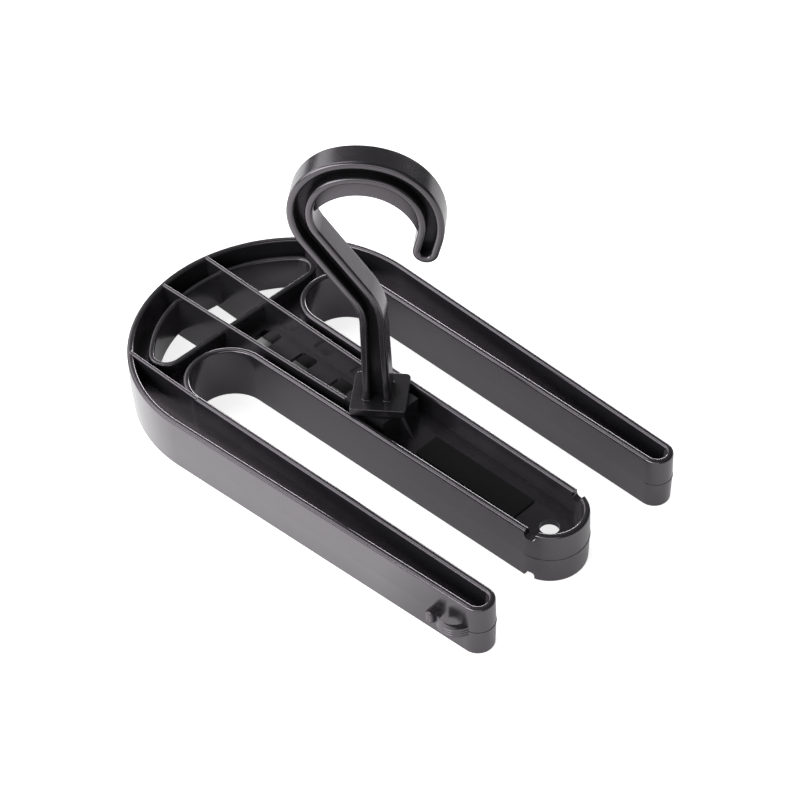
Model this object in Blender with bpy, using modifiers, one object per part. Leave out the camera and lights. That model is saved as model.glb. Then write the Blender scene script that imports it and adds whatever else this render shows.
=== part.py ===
"""Drysuit hanger: a flat three-armed plastic frame with a swivelling hook.

Metres, +Z up. The frame lies on its lower rims at z = 0 with its arms along +X.
Distances along the frame are measured from the back of its arch.
"""

import math

import bmesh
import bpy
from mathutils import Vector

# Frame, overall
FRAME_LENGTH = 0.3852
FRAME_HEIGHT = 0.0420
MIDDLE_ARM_LENGTH = 0.3830
ARM_FRONT_INSET = 0.0127  # from the arm tips back to where the front half widths are taken

# Half widths of the frame's faces, at the arch and at the tips
OUTER_BACK = 0.1125
OUTER_FRONT = 0.0984
SLOT_FAR_BACK = 0.0810
SLOT_FAR_FRONT = 0.0750
SLOT_NEAR_BACK = 0.0302
SLOT_NEAR_FRONT = 0.0259
SLOT_START = 0.0860

# Walls, thickest at the parting line halfway up and drafted towards both rims
WALL_PARTING = 0.0056
WALL_RIM = 0.0048
WALL_ROUNDING = 0.0019
RIM_DROP = 0.0002  # how far the walls stay under the full height
RIB_PARTING = 0.0040
RIB_RIM = 0.0030
RIB_ROUNDING = 0.0011
WEB_THICKNESS = 0.0026
FLOOR_RISE = 0.0025  # how far the floor of the arms stands above the web of the head

# Lightening cell in the arch, a D whose wall stops short of both rims
CELL_DROP = 0.0070
CELL_WALL_PARTING = 0.0050
CELL_WALL_RIM = 0.0044
CELL_WALL_ROUNDING = 0.0016
CELL_CHORD = 0.0677
CELL_RADIUS = 0.0957
CELL_CORNER = 0.0115

# Long ribs from the arch to the hook boss, and the ribs behind the outer arms
RIB_SPREAD_BACK = 0.0209
RIB_BOSS_INSET = 0.0011  # from the boss's side to a long rib's middle
SIDE_RIB_OFFSET = 0.0034  # from the slot's far face to a side rib's middle

# Windows in the web between the long ribs
WINDOW_COUNT = 3
WINDOW_FIRST = 0.0857
WINDOW_PITCH = 0.0377
WINDOW_LENGTH = 0.0156
WINDOW_CORNER = 0.0028
WINDOW_MARGIN = 0.0060  # from a long rib's middle to the window

# Hook boss, a hollow square post closed at the top
HOOK_AXIS = 0.2045
BOSS_LENGTH = 0.0380
BOSS_WIDTH = 0.0340
BOSS_CORNER = 0.0008
BOSS_WALL = 0.0030
BOSS_ROOF = 0.0060
GUSSET_THICKNESS = 0.0028
GUSSET_REACH = 0.0105
GUSSET_DROP = 0.0015

# Tip of the middle arm, with places measured back from its end
TIP_HOLE_INSET = 0.0262
TIP_HOLE_RADIUS = 0.0068
NOTCH_INSET = 0.0215
NOTCH_WIDTH = 0.0080
NOTCH_DEPTH = 0.0060
NOTCH_CORNER = 0.0025

# Cord eyelets on the outer arms, with places measured back from the arm tips
EYELET_HEIGHT = 0.0084
EYELET_SKIN = 0.0018  # thickness of the toothed layer
PEG_INSET = 0.0318
PEG_LENGTH = 0.0060
PEG_REACH = 0.0078  # beyond the arm's outer face
PEG_CORNER = 0.0024
FINGER_GAP = 0.0030
FINGER_INSET = 0.0217
FINGER_RADIUS = 0.0133
FINGER_REACH = 0.0088
EYE_INSET = 0.0247
EYE_RADIUS = 0.0111
GRIP_DEPTH = 0.0004
GRIP_TEETH = 4

# Label plate on the floor of the middle arm
LABEL_BOSS_GAP = 0.0125  # from the gusset's foot
LABEL_HOLE_GAP = 0.0152  # from the edge of the tip hole
LABEL_WIDTH = 0.0208
LABEL_THICKNESS = 0.0008
LABEL_CORNER = 0.0006

# Hook, drawn as a centre line in its own upright plane
HOOK_TURN = math.radians(38)
HOOK_BAND = 0.0168
HOOK_FOOT = 0.0192
HOOK_DEPTH = 0.0200
HOOK_FLANGE = 0.0052
HOOK_ROUNDING = 0.0020
HOOK_WEB = 0.0026
STEM_SETBACK = 0.0020  # how far the stem stands behind the swivel axis
STEM_FOOT_SETBACK = 0.0013
STEM_LENGTH = 0.0669
LOWER_BEND_RADIUS = 0.0440
LOWER_BEND_TURN = math.radians(32.7)
NECK_LENGTH = 0.0557
NECK_BEND_RADIUS = 0.0341
NECK_BEND_TURN = math.radians(109.9)
CROWN_RADIUS = 0.0540
CROWN_TURN = math.radians(31.8)
BILL_RADIUS = 0.0395
BILL_TURN = math.radians(86)
BILL_LENGTH = 0.0100

# Arc that bounds the web inside the crown
CROWN_DROP = 0.0152  # below the band at the top of the crown
ARC_RADIUS = 0.0370

# Hook plate and the pivot under it
PLATE_SIDE = 0.0380
PLATE_THICKNESS = 0.0060
PLATE_FRONT_CORNER = 0.0008
PLATE_BACK_CORNER = 0.0035
PLATE_EDGE = 0.0005
PIN_RADIUS = 0.0070
PIN_STICKOUT = 0.0001  # how far the pin passes the boss roof
WASHER_RADIUS = 0.0120
WASHER_THICKNESS = 0.0020
SCREW_RADIUS = 0.0025
SCREW_HEAD_RADIUS = 0.0050
SCREW_HEAD_HEIGHT = 0.0032
SCREW_LENGTH = 0.0110
SCREW_SLOT_WIDTH = 0.0012
SCREW_SLOT_DEPTH = 0.0014
PILOT_SPARE = 0.0010  # how much deeper the pilot hole is than the screw

# Fits and construction
CLEARANCE = 0.0003
OVERRUN = 0.0020  # how far a cutter or a joined root passes the face it meets
WELD = 0.000002
FLAT = math.radians(0.01)  # faces that turn less than this are made one

# Steps in a round stretch
ARCH_STEPS = 16
SLOT_STEPS = 9
TIP_STEPS = 6
CORNER_STEPS = 3
RIM_STEPS = 2
HOOK_STEP = math.radians(8)
ROUND_SIDES = 32

BLACK_PLASTIC = (0.022, 0.022, 0.024, 1)
LABEL_BLACK = (0.008, 0.008, 0.009, 1)
STEEL = (0.62, 0.62, 0.60, 1)


def clear_scene():
    for old in list(bpy.data.objects):
        bpy.data.objects.remove(old)


def new_collection(name):
    made = bpy.data.collections.new(name)
    bpy.context.scene.collection.children.link(made)
    return made


def material(name, colour, roughness, metallic=0.0):
    made = bpy.data.materials.new(name)
    made.use_nodes = True
    shader = made.node_tree.nodes["Principled BSDF"]
    shader.inputs["Base Color"].default_value = colour
    shader.inputs["Roughness"].default_value = roughness
    shader.inputs["Metallic"].default_value = metallic
    return made


# Plan geometry

def along(distance):
    """X of a place measured from the back of the arch."""
    return distance - FRAME_LENGTH / 2


def arm_back():
    """Distance at which the arch, half a circle, passes into the arms."""
    return OUTER_BACK


def tapered(back, front, distance):
    """Half width at a distance along the frame, for a face given at the arch and at the tips."""
    arm_front = FRAME_LENGTH - ARM_FRONT_INSET
    share = (distance - arm_back()) / (arm_front - arm_back())
    return back + (front - back) * share


def corner_arc(before, corner, after, radius, steps):
    """Points of the arc that rounds a corner between two straight stretches."""
    come = (corner - before).normalized()
    leave = (after - corner).normalized()
    turn = come.angle_signed(leave)
    start = corner - come * radius * math.tan(abs(turn) / 2)
    side = Vector((come.y, -come.x)) * math.copysign(radius, turn)
    centre = start + side
    spoke = start - centre
    points = []
    for step in range(steps + 1):
        angle = -turn * step / steps
        c, s = math.cos(angle), math.sin(angle)
        points.append(centre + Vector((c * spoke.x - s * spoke.y, s * spoke.x + c * spoke.y)))
    return points


def rounded_loop(corners, radii, steps):
    """A closed outline with an arc at every corner."""
    points = []
    for i, corner in enumerate(corners):
        after = corners[(i + 1) % len(corners)]
        points += corner_arc(corners[i - 1], corner, after, radii[i], steps)
    return points


def full_round_loop(ends):
    """A closed outline whose ends, given as pairs of corners, are each one full round."""
    corners = [corner for first, second, _ in ends for corner in (first, second)]
    points = []
    for i, (first, second, steps) in enumerate(ends):
        before = corners[2 * i - 1]
        after = corners[(2 * i + 2) % len(corners)]
        edge = second - first
        turns = abs((first - before).angle_signed(edge)), abs(edge.angle_signed(after - second))
        radius = edge.length / (math.tan(turns[0] / 2) + math.tan(turns[1] / 2))
        points += corner_arc(before, first, second, radius, steps)[:-1]
        points += corner_arc(first, second, after, radius, steps)
    return points


def rectangle(centre_x, centre_y, length, width, radius, steps=CORNER_STEPS):
    half = Vector((length / 2, width / 2))
    corners = [
        Vector((centre_x + sx * half.x, centre_y + sy * half.y))
        for sx, sy in ((1, -1), (1, 1), (-1, 1), (-1, -1))
    ]
    return rounded_loop(corners, [radius] * len(corners), steps)


def circle(centre_x, centre_y, radius, sides=ROUND_SIDES):
    return [
        Vector((
            centre_x + radius * math.cos(math.tau * i / sides),
            centre_y + radius * math.sin(math.tau * i / sides),
        ))
        for i in range(sides)
    ]


# Shapes

def curve_object(name, loops, flat, closed=True):
    """A curve of straight-sided splines through the given points."""
    curve = bpy.data.curves.new(name, "CURVE")
    curve.dimensions = "2D" if flat else "3D"
    for points in loops:
        spline = curve.splines.new("POLY")
        spline.points.add(len(points) - 1)
        for place, point in zip(spline.points, points):
            place.co = point.to_4d()
        spline.use_cyclic_u = closed
    made = bpy.data.objects.new(name, curve)
    bpy.context.scene.collection.objects.link(made)
    return made


def solid_from(drawn, location=(0, 0, 0), rotation=(0, 0, 0)):
    """The mesh of a curve object, welded, in place of the curve."""
    graph = bpy.context.evaluated_depsgraph_get()
    mesh = bpy.data.meshes.new_from_object(drawn.evaluated_get(graph))
    shape = bmesh.new()
    shape.from_mesh(mesh)
    bmesh.ops.remove_doubles(shape, verts=shape.verts, dist=WELD)
    bmesh.ops.dissolve_limit(
        shape, angle_limit=FLAT, use_dissolve_boundaries=False, verts=[], edges=shape.edges
    )
    bmesh.ops.recalc_face_normals(shape, faces=shape.faces)
    shape.to_mesh(mesh)
    shape.free()
    made = bpy.data.objects.new(drawn.name, mesh)
    made.matrix_world = drawn.matrix_world
    bpy.data.objects.remove(drawn)
    made.location = location
    made.rotation_euler = rotation
    return made


def slab(name, loops, low, high, edge=0.0):
    """A flat outline, with any holes, standing from one height to another."""
    drawn = curve_object(name, loops, flat=True)
    drawn.data.fill_mode = "BOTH"
    drawn.data.extrude = (high - low) / 2 - edge
    drawn.data.bevel_depth = edge
    drawn.data.bevel_resolution = 1
    drawn.data.offset = -edge
    return solid_from(drawn, location=(0, 0, (low + high) / 2))


def upright(name, outline, place, thickness):
    """An outline drawn in X and Z, as thick as asked across Y."""
    drawn = curve_object(name, [outline], flat=True)
    drawn.data.fill_mode = "BOTH"
    drawn.data.extrude = thickness / 2
    return solid_from(drawn, location=place, rotation=(math.pi / 2, 0, 0))


def wall_section(parting, rim, rounding, low, high):
    """Section of a moulded wall: widest at the parting line, its rims rounded."""
    def rim_corner(side, level, up):
        centre = Vector((side * (rim / 2 - rounding), level - up * rounding))
        arc = [
            centre + rounding * Vector((side * math.cos(a), up * math.sin(a)))
            for a in (math.pi / 2 * step / RIM_STEPS for step in range(RIM_STEPS + 1))
        ]
        return arc if side * up > 0 else arc[::-1]

    right, left, top, bottom = 1, -1, 1, -1
    return (
        rim_corner(right, high, top)
        + rim_corner(left, high, top)
        + [Vector((-parting / 2, 0))]
        + rim_corner(left, low, bottom)
        + rim_corner(right, low, bottom)
        + [Vector((parting / 2, 0))]
    )


def sweep(name, path, section, closed, location, rotation=(0, 0, 0)):
    """A wall of the given section along a plan line. The section's +X is on the right of travel."""
    drawn = curve_object(name, [path], flat=False, closed=closed)
    profile = curve_object(name + "_section", [section], flat=True)
    profile.data.fill_mode = "NONE"
    drawn.data.bevel_mode = "OBJECT"
    drawn.data.bevel_object = profile
    drawn.data.use_fill_caps = not closed
    made = solid_from(drawn, location=location, rotation=rotation)
    bpy.data.objects.remove(profile)
    return made


def cylinder(name, radius, low, high, place=(0, 0)):
    bpy.ops.mesh.primitive_cylinder_add(
        vertices=ROUND_SIDES,
        radius=radius,
        depth=high - low,
        location=(*place, (low + high) / 2),
    )
    made = bpy.context.object
    made.name = name
    return made


def move_to(collection, made):
    for old in list(made.users_collection):
        old.objects.unlink(made)
    collection.objects.link(made)
    return made


def combine(target, operation, pieces, helpers):
    """Joins the pieces to the target in one step, or cuts them from it."""
    group = bpy.data.collections.new(pieces[0].name)
    helpers.children.link(group)
    for piece in pieces:
        move_to(group, piece)
        piece.hide_render = True
        piece.display_type = "WIRE"
        piece.parent = target.parent
    step = target.modifiers.new(group.name, "BOOLEAN")
    step.operation = operation
    step.solver = "EXACT"
    step.operand_type = "COLLECTION"
    step.collection = group


def finish(made, name, collection, look, sharp=math.radians(35)):
    move_to(collection, made)
    made.name = name
    made.data.materials.clear()
    made.data.materials.append(look)
    made.data.shade_smooth()
    made.data.set_sharp_from_angle(angle=sharp)
    return made


# Frame

def wall_middle(back, front, distance, side):
    """Half width of a wall's middle line, inside or outside the face it is measured by."""
    return tapered(back, front, distance) + side * WALL_PARTING / 2


def outer_middle(distance):
    return wall_middle(OUTER_BACK, OUTER_FRONT, distance, -1)


def arm_middle(distance):
    return wall_middle(SLOT_FAR_BACK, SLOT_FAR_FRONT, distance, 1)


def tongue_middle(distance):
    return wall_middle(SLOT_NEAR_BACK, SLOT_NEAR_FRONT, distance, -1)


def perimeter():
    """Middle line of the wall that runs round the whole frame."""
    back = WALL_PARTING / 2
    arm_tip = FRAME_LENGTH - WALL_PARTING / 2
    tongue_tip = MIDDLE_ARM_LENGTH - WALL_PARTING / 2
    slot = SLOT_START - WALL_PARTING / 2

    def at(distance, half_width):
        return Vector((along(distance), half_width))

    return full_round_loop([
        (at(back, outer_middle(back)), at(back, -outer_middle(back)), ARCH_STEPS),
        (at(arm_tip, -outer_middle(arm_tip)), at(arm_tip, -arm_middle(arm_tip)), TIP_STEPS),
        (at(slot, -arm_middle(slot)), at(slot, -tongue_middle(slot)), SLOT_STEPS),
        (at(tongue_tip, -tongue_middle(tongue_tip)), at(tongue_tip, tongue_middle(tongue_tip)), SLOT_STEPS),
        (at(slot, tongue_middle(slot)), at(slot, arm_middle(slot)), SLOT_STEPS),
        (at(arm_tip, arm_middle(arm_tip)), at(arm_tip, outer_middle(arm_tip)), TIP_STEPS),
    ])


def cell_loop():
    """Middle line of the D-shaped cell wall: two corners, a long arc and a straight chord."""
    corner_x = CELL_CHORD - CELL_CORNER
    corner_y = math.sqrt((CELL_RADIUS - CELL_CORNER) ** 2 - (arm_back() - corner_x) ** 2)
    lean = math.atan2(corner_y, corner_x - arm_back())

    def arc(centre, radius, start, end, steps):
        return [
            centre + radius * Vector((math.cos(a), math.sin(a)))
            for a in (start + (end - start) * i / steps for i in range(steps + 1))
        ]

    upper = Vector((along(corner_x), corner_y))
    lower = Vector((along(corner_x), -corner_y))
    middle = Vector((along(arm_back()), 0))
    return (
        arc(upper, CELL_CORNER, 0, lean, TIP_STEPS)
        + arc(middle, CELL_RADIUS, lean, math.tau - lean, ARCH_STEPS)[1:-1]
        + arc(lower, CELL_CORNER, math.tau - lean, math.tau, TIP_STEPS)
    )


def arch_back(half_width):
    """Distance along the frame where a rib at this half width meets the arch wall's middle."""
    radius = OUTER_BACK - WALL_PARTING / 2
    return arm_back() - math.sqrt(radius ** 2 - half_width ** 2)


def boss_back():
    return HOOK_AXIS - BOSS_LENGTH / 2


def long_rib_spread(distance):
    """Half distance between the middles of the two long ribs."""
    share = distance / boss_back()
    at_boss = BOSS_WIDTH / 2 - RIB_BOSS_INSET
    return RIB_SPREAD_BACK + (at_boss - RIB_SPREAD_BACK) * share


def side_rib_spread():
    return SLOT_FAR_BACK + SIDE_RIB_OFFSET


def ribs():
    """Two long ribs from the arch to the boss, and one behind each outer arm."""
    half = FRAME_HEIGHT / 2
    section = wall_section(RIB_PARTING, RIB_RIM, RIB_ROUNDING, RIM_DROP - half, half)
    start = arch_back(RIB_SPREAD_BACK)
    end = boss_back() + BOSS_WALL / 2
    side_spread = side_rib_spread()
    side_start = arch_back(side_spread)
    made = []
    for side in (-1, 1):
        long_line = [
            Vector((along(start), side * long_rib_spread(start))),
            Vector((along(end), side * long_rib_spread(end))),
        ]
        side_line = [
            Vector((along(side_start), side * side_spread)),
            Vector((along(arm_back()), side * side_spread)),
        ]
        made.append(sweep("long_rib", long_line, section, False, (0, 0, half)))
        made.append(sweep("side_rib", side_line, section, False, (0, 0, half)))
    return made


def windows():
    """Openings through the web, in a row between the long ribs."""
    loops = []
    for i in range(WINDOW_COUNT):
        place = WINDOW_FIRST + i * WINDOW_PITCH
        width = 2 * (long_rib_spread(place) - WINDOW_MARGIN)
        loops.append(rectangle(along(place), 0, WINDOW_LENGTH, width, WINDOW_CORNER))
    return loops


def tip_hole():
    return MIDDLE_ARM_LENGTH - TIP_HOLE_INSET


def web_top():
    """Height of the web of the head, which lies halfway up."""
    return (FRAME_HEIGHT + WEB_THICKNESS) / 2


def arm_floor():
    return web_top() + FLOOR_RISE


def web():
    """Floor of the arms, with the cell, the windows and the tip hole left open."""
    hole = circle(along(tip_hole()), 0, TIP_HOLE_RADIUS)
    loops = [perimeter(), cell_loop(), hole] + windows()
    return slab("web", loops, web_top() - WEB_THICKNESS, arm_floor())


def head_recess():
    """Cuts the floor down to the thin web of the head, between the side ribs and back to the boss."""
    plan = [
        (-OVERRUN, side_rib_spread()),
        (arm_back(), side_rib_spread()),
        (arm_back(), tongue_middle(arm_back())),
        (HOOK_AXIS, tongue_middle(HOOK_AXIS)),
    ]
    outline = [Vector((along(distance), half_width)) for distance, half_width in plan]
    outline += [Vector((point.x, -point.y)) for point in outline[::-1]]
    return slab("head_recess", [outline], web_top(), arm_floor() + OVERRUN)


def walls():
    half = FRAME_HEIGHT / 2
    outer = wall_section(WALL_PARTING, WALL_RIM, WALL_ROUNDING, -half, half - RIM_DROP)
    cell = wall_section(
        CELL_WALL_PARTING, CELL_WALL_RIM, CELL_WALL_ROUNDING, CELL_DROP - half, half - CELL_DROP
    )
    return [
        sweep("outer_wall", perimeter(), outer, True, (0, 0, half)),
        sweep("cell_wall", cell_loop(), cell, True, (0, 0, half)),
    ]


def boss():
    outline = rectangle(along(HOOK_AXIS), 0, BOSS_LENGTH, BOSS_WIDTH, BOSS_CORNER)
    return slab("boss", [outline], RIM_DROP, FRAME_HEIGHT - RIM_DROP)


def boss_front():
    return HOOK_AXIS + BOSS_LENGTH / 2


def gusset():
    """Brace in the middle of the boss's front face."""
    root = along(boss_front() - BOSS_WALL / 2)
    foot = along(boss_front() + GUSSET_REACH)
    floor = arm_floor()
    top = FRAME_HEIGHT - GUSSET_DROP
    outline = [
        Vector((root, floor - OVERRUN)),
        Vector((foot, floor - OVERRUN)),
        Vector((foot, floor)),
        Vector((along(boss_front()), top)),
        Vector((root, top)),
    ]
    return upright("gusset", outline, (0, 0, 0), GUSSET_THICKNESS)


def grip_section():
    """Section of the toothed outer layer of an eyelet piece."""
    half = EYELET_HEIGHT / 2
    outer = EYELET_SKIN / 2
    points = [Vector((-outer, half)), Vector((-outer, -half))]
    for i in range(GRIP_TEETH):
        low = -half + EYELET_HEIGHT * i / GRIP_TEETH
        high = -half + EYELET_HEIGHT * (i + 1) / GRIP_TEETH
        points.append(Vector((outer, low + (high - low) / 4)))
        points.append(Vector((outer, high - (high - low) / 4)))
        if i < GRIP_TEETH - 1:
            points.append(Vector((outer - GRIP_DEPTH, high)))
    return points


def peg_line():
    """Middle line of the peg's outer layer, out of the arm, round the peg's end and back."""
    layer = EYELET_SKIN / 2
    front = FRAME_LENGTH - PEG_INSET
    face = tapered(OUTER_BACK, OUTER_FRONT, front)
    root = face - WALL_PARTING / 2
    end = face + PEG_REACH - layer
    corners = [
        Vector((along(distance), half_width))
        for distance, half_width in (
            (front - PEG_LENGTH + layer, root),
            (front - PEG_LENGTH + layer, end),
            (front - layer, end),
            (front - layer, root),
        )
    ]
    radius = PEG_CORNER - layer
    return (
        [corners[0]]
        + corner_arc(corners[0], corners[1], corners[2], radius, CORNER_STEPS)
        + corner_arc(corners[1], corners[2], corners[3], radius, CORNER_STEPS)
        + [corners[3]]
    )


def arc_from(start, centre, radius):
    """Points of a quarter or more of a circle, from a distance along the frame to its front."""
    first = math.asin((start - centre.x) / radius)
    angles = [first + (math.pi / 2 - first) * i / TIP_STEPS for i in range(TIP_STEPS + 1)]
    return [
        Vector((along(centre.x + radius * math.sin(a)), centre.y + radius * math.cos(a)))
        for a in angles
    ]


def finger_lines():
    """Middle line of the finger's outer layer, and the outline of the wedge that fills it."""
    place = FRAME_LENGTH - FINGER_INSET
    half_width = tapered(OUTER_BACK, OUTER_FRONT, place) + FINGER_REACH - FINGER_RADIUS
    outer = Vector((place, half_width))
    inner = Vector((FRAME_LENGTH - EYE_INSET, half_width))
    free_end = FRAME_LENGTH - PEG_INSET + FINGER_GAP
    radius = FINGER_RADIUS - EYELET_SKIN / 2
    wedge = arc_from(free_end + EYELET_SKIN, outer, radius)
    wedge += arc_from(free_end + EYELET_SKIN, inner, EYE_RADIUS)[::-1]
    return arc_from(free_end, outer, radius), wedge


def eyelets():
    """A peg and a curved finger on the outside of each outer arm, between them a slit for a cord."""
    half = FRAME_HEIGHT / 2
    reach = EYELET_HEIGHT / 2 - RIM_DROP
    section = grip_section()
    finger, wedge = finger_lines()
    made = []
    for name, line, core in (("peg", peg_line(), peg_line()), ("finger", finger, wedge)):
        near_line = [Vector((point.x, -point.y)) for point in line]
        near_core = [Vector((point.x, -point.y)) for point in core]
        for path, filling in ((near_line, near_core), (line[::-1], core)):
            made.append(sweep(name, path, section, False, (0, 0, half)))
            made.append(slab(name + "_core", [filling], half - reach, half + reach))
    return made


def notch_cutters():
    """Cuts for a cord across both rims of the middle arm's tip."""
    reach = 2 * SLOT_NEAR_BACK
    made = []
    for level, up in ((FRAME_HEIGHT - RIM_DROP, 1), (0, -1)):
        floor = level - up * NOTCH_DEPTH
        outside = level + up * OVERRUN
        half = NOTCH_WIDTH / 2
        x = along(MIDDLE_ARM_LENGTH - NOTCH_INSET)
        corners = [
            Vector((x - half, outside)),
            Vector((x - half, floor)),
            Vector((x + half, floor)),
            Vector((x + half, outside)),
        ]
        outline = (
            [corners[0]]
            + corner_arc(corners[0], corners[1], corners[2], NOTCH_CORNER, CORNER_STEPS)
            + corner_arc(corners[1], corners[2], corners[3], NOTCH_CORNER, CORNER_STEPS)
            + [corners[3]]
        )
        made.append(upright("notch", outline, (0, 0, 0), reach))
    return made


def boss_cutters():
    hollow = rectangle(
        along(HOOK_AXIS), 0, BOSS_LENGTH - 2 * BOSS_WALL, BOSS_WIDTH - 2 * BOSS_WALL, BOSS_CORNER
    )
    roof = FRAME_HEIGHT - RIM_DROP - BOSS_ROOF
    bore = circle(along(HOOK_AXIS), 0, PIN_RADIUS + CLEARANCE)
    return [
        slab("boss_hollow", [hollow], -OVERRUN, roof),
        slab("boss_bore", [bore], roof - OVERRUN, FRAME_HEIGHT + OVERRUN),
    ]


def build_frame(parts, helpers, look):
    frame = web()
    combine(frame, "DIFFERENCE", [head_recess()], helpers)
    combine(frame, "UNION", walls() + ribs() + [boss(), gusset()] + eyelets(), helpers)
    combine(frame, "DIFFERENCE", notch_cutters() + boss_cutters(), helpers)
    return finish(frame, "frame_moulding", parts, look)


def build_label(parts, look):
    floor = arm_floor() + CLEARANCE
    start = boss_front() + GUSSET_REACH + LABEL_BOSS_GAP
    end = tip_hole() - TIP_HOLE_RADIUS - LABEL_HOLE_GAP
    outline = rectangle(along((start + end) / 2), 0, end - start, LABEL_WIDTH, LABEL_CORNER)
    label = slab("label", [outline], floor, floor + LABEL_THICKNESS)
    return finish(label, "label_plate", parts, look)


# Hook

def hook_line():
    """Centre line of the hook's band from the plate to the bill, as points with headings."""
    place = Vector((-STEM_SETBACK, plate_top()))
    heading = math.pi / 2
    line = [(place.copy(), heading)]
    stretches = (
        (STEM_LENGTH, 0, 0),
        (0, LOWER_BEND_RADIUS, LOWER_BEND_TURN),
        (NECK_LENGTH, 0, 0),
        (0, NECK_BEND_RADIUS, -NECK_BEND_TURN),
        (0, CROWN_RADIUS, -CROWN_TURN),
        (0, BILL_RADIUS, -BILL_TURN),
        (BILL_LENGTH, 0, 0),
    )
    for length, radius, turn in stretches:
        if length:
            place = place + length * Vector((math.cos(heading), math.sin(heading)))
            line.append((place.copy(), heading))
            continue
        steps = math.ceil(abs(turn) / HOOK_STEP)
        chord = 2 * radius * math.sin(abs(turn) / steps / 2)
        for _ in range(steps):
            middle = heading + turn / steps / 2
            place = place + chord * Vector((math.cos(middle), math.sin(middle)))
            heading += turn / steps
            line.append((place.copy(), heading))
    return line


def flange_line():
    """Middle line of the flange that runs up one side of the band, round the bill and back."""
    reach = (HOOK_BAND - HOOK_FLANGE) / 2
    foot = (HOOK_FOOT - HOOK_FLANGE) / 2
    line = hook_line()

    def beside(side):
        points = [Vector((side * foot - STEM_FOOT_SETBACK, plate_top() - OVERRUN))]
        for place, heading in line[1:]:
            across = Vector((-math.sin(heading), math.cos(heading)))
            points.append(place - side * reach * across)
        return points

    end, heading = line[-1]
    bill = [
        end + reach * Vector((math.cos(angle), math.sin(angle)))
        for angle in (
            heading + math.pi / 2 - math.pi * step / (2 * TIP_STEPS)
            for step in range(1, 2 * TIP_STEPS)
        )
    ]
    return beside(-1) + bill + beside(1)[::-1]


def web_line():
    """The flange's middle line with the inside of the crown cut across by an arc, for the web."""
    top, heading = max(hook_line(), key=lambda step: step[0].y)
    crown = top + CROWN_RADIUS * Vector((math.sin(heading), -math.cos(heading)))
    centre = crown + Vector((0, CROWN_RADIUS - HOOK_BAND / 2 - CROWN_DROP - ARC_RADIUS))
    line = flange_line()
    inside = [
        i for i in range(len(line) // 2, len(line))
        if line[i].y > centre.y and (line[i] - centre).length > ARC_RADIUS
    ]
    first, last = line[inside[0]] - centre, line[inside[-1]] - centre
    start = math.atan2(first.y, first.x)
    turn = math.atan2(last.y, last.x) - start
    steps = math.ceil(turn / HOOK_STEP)
    arc = [
        centre + ARC_RADIUS * Vector((math.cos(angle), math.sin(angle)))
        for angle in (start + turn * i / steps for i in range(steps + 1))
    ]
    return line[:inside[0]] + arc + line[inside[-1] + 1:]


def plate_bottom():
    return FRAME_HEIGHT + CLEARANCE


def plate_top():
    return plate_bottom() + PLATE_THICKNESS


def boss_roof():
    """Height of the underside of the boss's roof."""
    return FRAME_HEIGHT - RIM_DROP - BOSS_ROOF


def pin_end():
    return boss_roof() - PIN_STICKOUT


def washer_top():
    return pin_end() - CLEARANCE


def screw_seat():
    return washer_top() - WASHER_THICKNESS - CLEARANCE


def hook_plate():
    half = PLATE_SIDE / 2
    corners = [Vector((sx * half, sy * half)) for sx, sy in ((1, -1), (1, 1), (-1, 1), (-1, -1))]
    front = PLATE_FRONT_CORNER + PLATE_EDGE
    radii = [front, PLATE_BACK_CORNER, PLATE_BACK_CORNER, front]
    outline = rounded_loop(corners, radii, CORNER_STEPS)
    return slab("plate", [outline], plate_bottom(), plate_top(), PLATE_EDGE)


def hook_band():
    """Flange and web of the I-section band, standing in the hook's upright plane."""
    half = HOOK_DEPTH / 2
    section = wall_section(HOOK_FLANGE, HOOK_FLANGE, HOOK_ROUNDING, -half, half)
    upright_turn = (math.pi / 2, 0, 0)
    line = flange_line()
    flange = sweep("flange", line, section, False, (0, 0, 0), upright_turn)
    return [flange, upright("band_web", web_line(), (0, 0, 0), HOOK_WEB)]


def build_hook(parts, helpers, look, axis):
    hook = hook_plate()
    hook.parent = axis
    pin = cylinder("pin", PIN_RADIUS, pin_end(), plate_bottom() + OVERRUN)
    pilot_end = screw_seat() + SCREW_LENGTH + PILOT_SPARE
    pilot = cylinder("pilot_hole", SCREW_RADIUS + CLEARANCE, pin_end() - OVERRUN, pilot_end)
    combine(hook, "UNION", [pin], helpers)
    combine(hook, "DIFFERENCE", [pilot], helpers)
    combine(hook, "UNION", hook_band(), helpers)
    return finish(hook, "hook_moulding", parts, look)


def build_washer(parts, look, axis):
    low = washer_top() - WASHER_THICKNESS
    outline = circle(0, 0, WASHER_RADIUS)
    hole = circle(0, 0, SCREW_RADIUS + CLEARANCE)
    washer = slab("washer", [outline, hole], low, washer_top())
    washer.parent = axis
    return finish(washer, "hook_washer", parts, look)


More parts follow.
